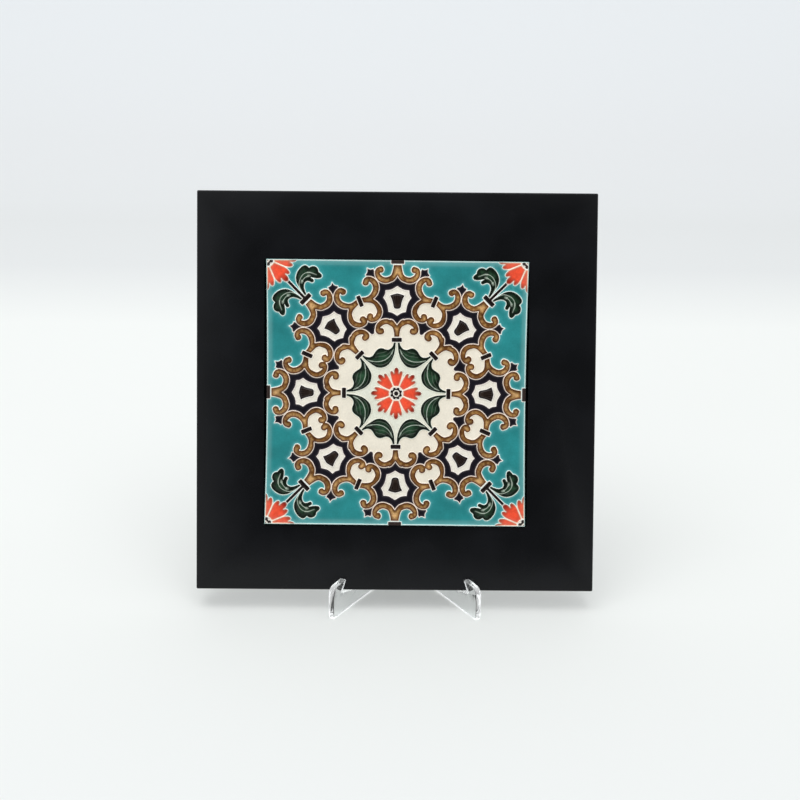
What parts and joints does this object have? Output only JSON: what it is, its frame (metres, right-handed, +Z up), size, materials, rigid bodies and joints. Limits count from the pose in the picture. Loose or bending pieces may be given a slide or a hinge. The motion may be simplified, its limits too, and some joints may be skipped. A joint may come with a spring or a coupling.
{
  "type": "framed relief tile on an easel",
  "caption": "Glazed relief tile with scrolls and leaves, set in a black square board that leans on a clear V easel.",
  "frame": {"origin": "on the ground under the middle of the whole object's box", "axes": "+X to the viewer's right along the board's width, +Y away from the viewer, +Z up"},
  "size_m": [0.2286, 0.0934, 0.2306],
  "materials": {
    "board": "satin",
    "tile": "gloss",
    "easel": "clear"
  },
  "bodies": {
    "root": {"board": "board", "tile": "tile", "easel": "easel"}
  },
  "joints": []
}
